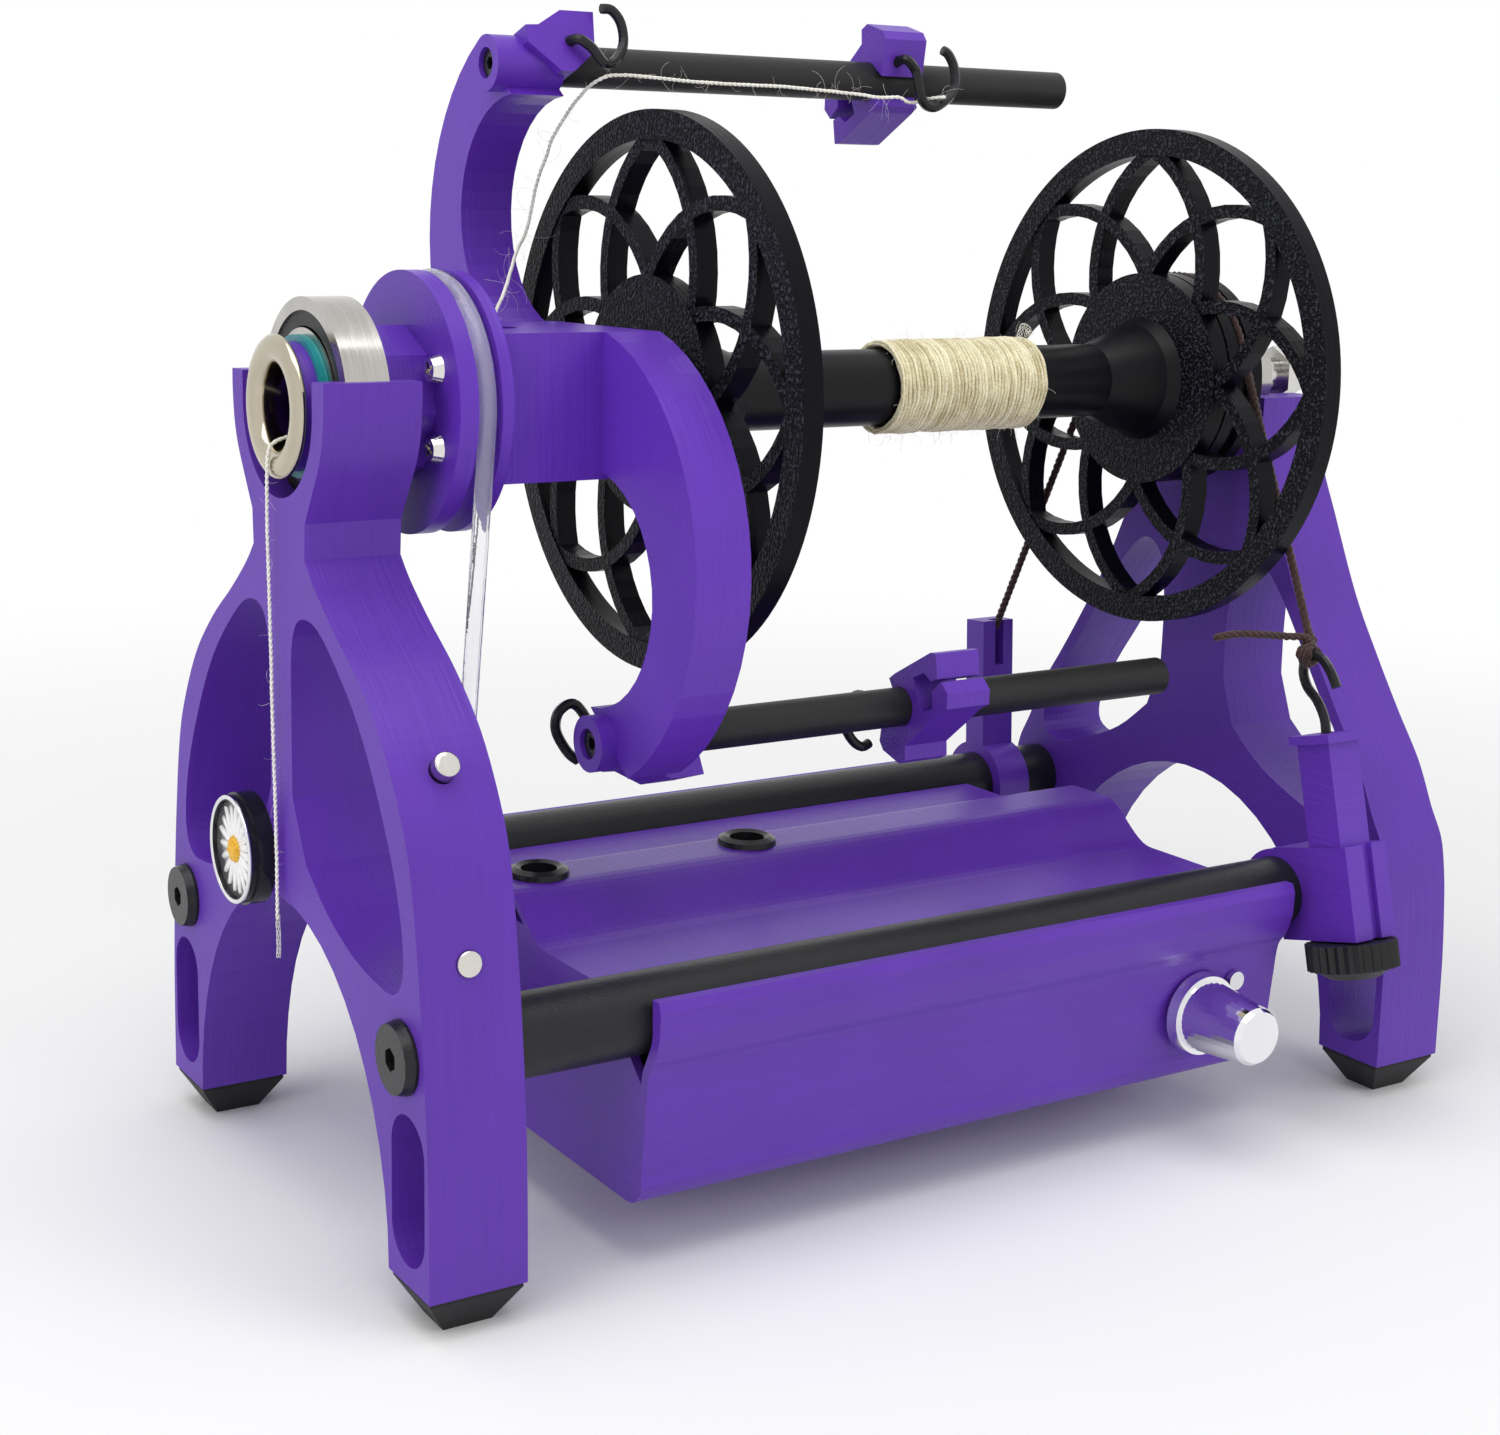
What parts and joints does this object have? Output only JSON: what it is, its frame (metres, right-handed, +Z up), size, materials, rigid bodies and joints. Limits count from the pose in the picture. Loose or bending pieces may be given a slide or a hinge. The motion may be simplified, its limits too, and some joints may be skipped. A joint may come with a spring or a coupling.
{
  "type": "electric yarn spinner",
  "caption": "Tabletop electric yarn spinner: two printed end frames on side tubes, a motor box, a belt-driven two-arm flyer with sliding hooks and a cord-braked bobbin.",
  "frame": {"origin": "middle of the object's box on the surface that it stands on", "axes": "+X along the spindle from the orifice to the rear frame, +Y across to the far side, +Z up"},
  "size_m": [0.2778, 0.1528, 0.2444],
  "materials": {
    "purple_plastic": "satin 3-D printed",
    "black_plastic": "satin 3-D printed",
    "black_metal": "satin black",
    "black_steel": "black oxide",
    "steel": "plain",
    "bearing_steel": "polished",
    "magnet_nickel": "polished",
    "foot_rubber": "matt",
    "grommet_rubber": "matt",
    "seal_rubber": "matt",
    "motor_can": "satin",
    "belt_clear": "clear polyurethane",
    "circuit_board": "solder mask",
    "teal_plastic": "glossy",
    "ferrule_metal": "polished",
    "yarn": "spun wool",
    "brake_cord": "twisted cord",
    "hook_wire": "black coated wire",
    "knob_aluminium": "knurled",
    "control_black": "satin",
    "lamp_bezel": "polished",
    "disc_black": "glossy",
    "petal_white": "glossy"
  },
  "bodies": {
    "stand": {"front_frame": "purple_plastic", "rear_frame": "purple_plastic", "side_tubes": "black_metal", "tube_plugs": "steel", "tube_bolts": "black_steel", "rubber_feet": "foot_rubber", "holding_magnets": "magnet_nickel", "tray_left": "purple_plastic", "tray_right": "purple_plastic", "lid_left": "purple_plastic", "lid_right": "purple_plastic", "lid_grommets": "grommet_rubber", "motor": "motor_can", "motor_screws": "steel", "drive_belt": "belt_clear", "control_board": "circuit_board", "power_jack": "control_black", "speed_control": "control_black", "indicator_lamp": "lamp_bezel", "bearing_outer_ring": "bearing_steel", "bearing_seals": "seal_rubber", "rear_bearing_outer": "bearing_steel", "brake_clamp": "purple_plastic", "cord_anchor": "purple_plastic", "yarn_lead": "yarn", "flower_disc": "disc_black", "flower_petals": "petal_white", "brake_cord": "brake_cord"},
    "flyer": {"bearing_inner_ring": "bearing_steel", "teal_ring": "teal_plastic", "orifice_ferrule": "ferrule_metal", "orifice_tube": "purple_plastic", "shaft_collar": "purple_plastic", "pulley_cover": "purple_plastic", "drive_pulley": "purple_plastic", "pulley_screws": "steel", "flyer_arms": "purple_plastic", "flyer_rods": "black_metal", "rod_screws": "black_steel", "fixed_hooks": "hook_wire", "spindle": "steel", "rear_bearing_inner": "bearing_steel", "spindle_nut": "steel", "yarn_guide": "yarn"},
    "bobbin": {"bobbin_core": "black_plastic", "bobbin_front_flange": "black_plastic", "bobbin_rear_flange": "black_plastic", "brake_pulley": "black_plastic", "yarn_core": "yarn", "yarn_turns": "yarn"},
    "upper_slider": {"upper_clip": "purple_plastic", "upper_hook": "hook_wire"},
    "lower_slider": {"lower_clip": "purple_plastic", "lower_hook": "hook_wire"},
    "motor_rotor": {"motor_shaft": "steel", "motor_pulley": "black_plastic"},
    "speed_dial": {"speed_knob": "knob_aluminium"},
    "tension_post": {"brake_post": "purple_plastic", "brake_hook": "hook_wire"},
    "tension_screw": {"thumb_knob": "black_plastic"}
  },
  "joints": [
    {"name": "flyer_spin", "type": "hinge", "parent": "stand", "child": "flyer", "pos_m": [-0.0127, 0.00905, 0.164], "axis": [1, 0, 0], "continuous": true},
    {"name": "bobbin_spin", "type": "hinge", "parent": "stand", "child": "bobbin", "pos_m": [-0.0127, 0.00905, 0.164], "axis": [1, 0, 0], "continuous": true},
    {"name": "motor_spin", "type": "hinge", "parent": "stand", "child": "motor_rotor", "pos_m": [-0.0997, 0.00905, 0.038], "axis": [1, 0, 0], "continuous": true},
    {"name": "upper_hook_slide", "type": "slide", "parent": "flyer", "child": "upper_slider", "axis": [1, 0, 0], "range_m": [-0.066, 0.036], "deforming": ["yarn_guide"]},
    {"name": "lower_hook_slide", "type": "slide", "parent": "flyer", "child": "lower_slider", "axis": [1, 0, 0], "range_m": [-0.042, 0.06]},
    {"name": "speed_turn", "type": "hinge", "parent": "stand", "child": "speed_dial", "pos_m": [0.0563, -0.05395, 0.03], "axis": [0, 1, 0], "range_deg": [0, 270]},
    {"name": "tension_screw_turn", "type": "hinge", "parent": "stand", "child": "tension_screw", "pos_m": [0.0908, -0.06248, 0.05537], "axis": [0, 0.2419, 0.9703], "range_deg": [-2250, 2700]},
    {"name": "tension_slide", "type": "slide", "parent": "stand", "child": "tension_post", "axis": [0, 0.2419, 0.9703], "range_m": [-0.005, 0.006], "deforming": ["brake_cord"]}
  ],
  "couplings": [
    {"joint": "motor_spin", "follows": "flyer_spin", "ratio": 3.2667},
    {"joint": "tension_slide", "follows": "tension_screw_turn", "m_per_rad": 0.00012732}
  ]
}
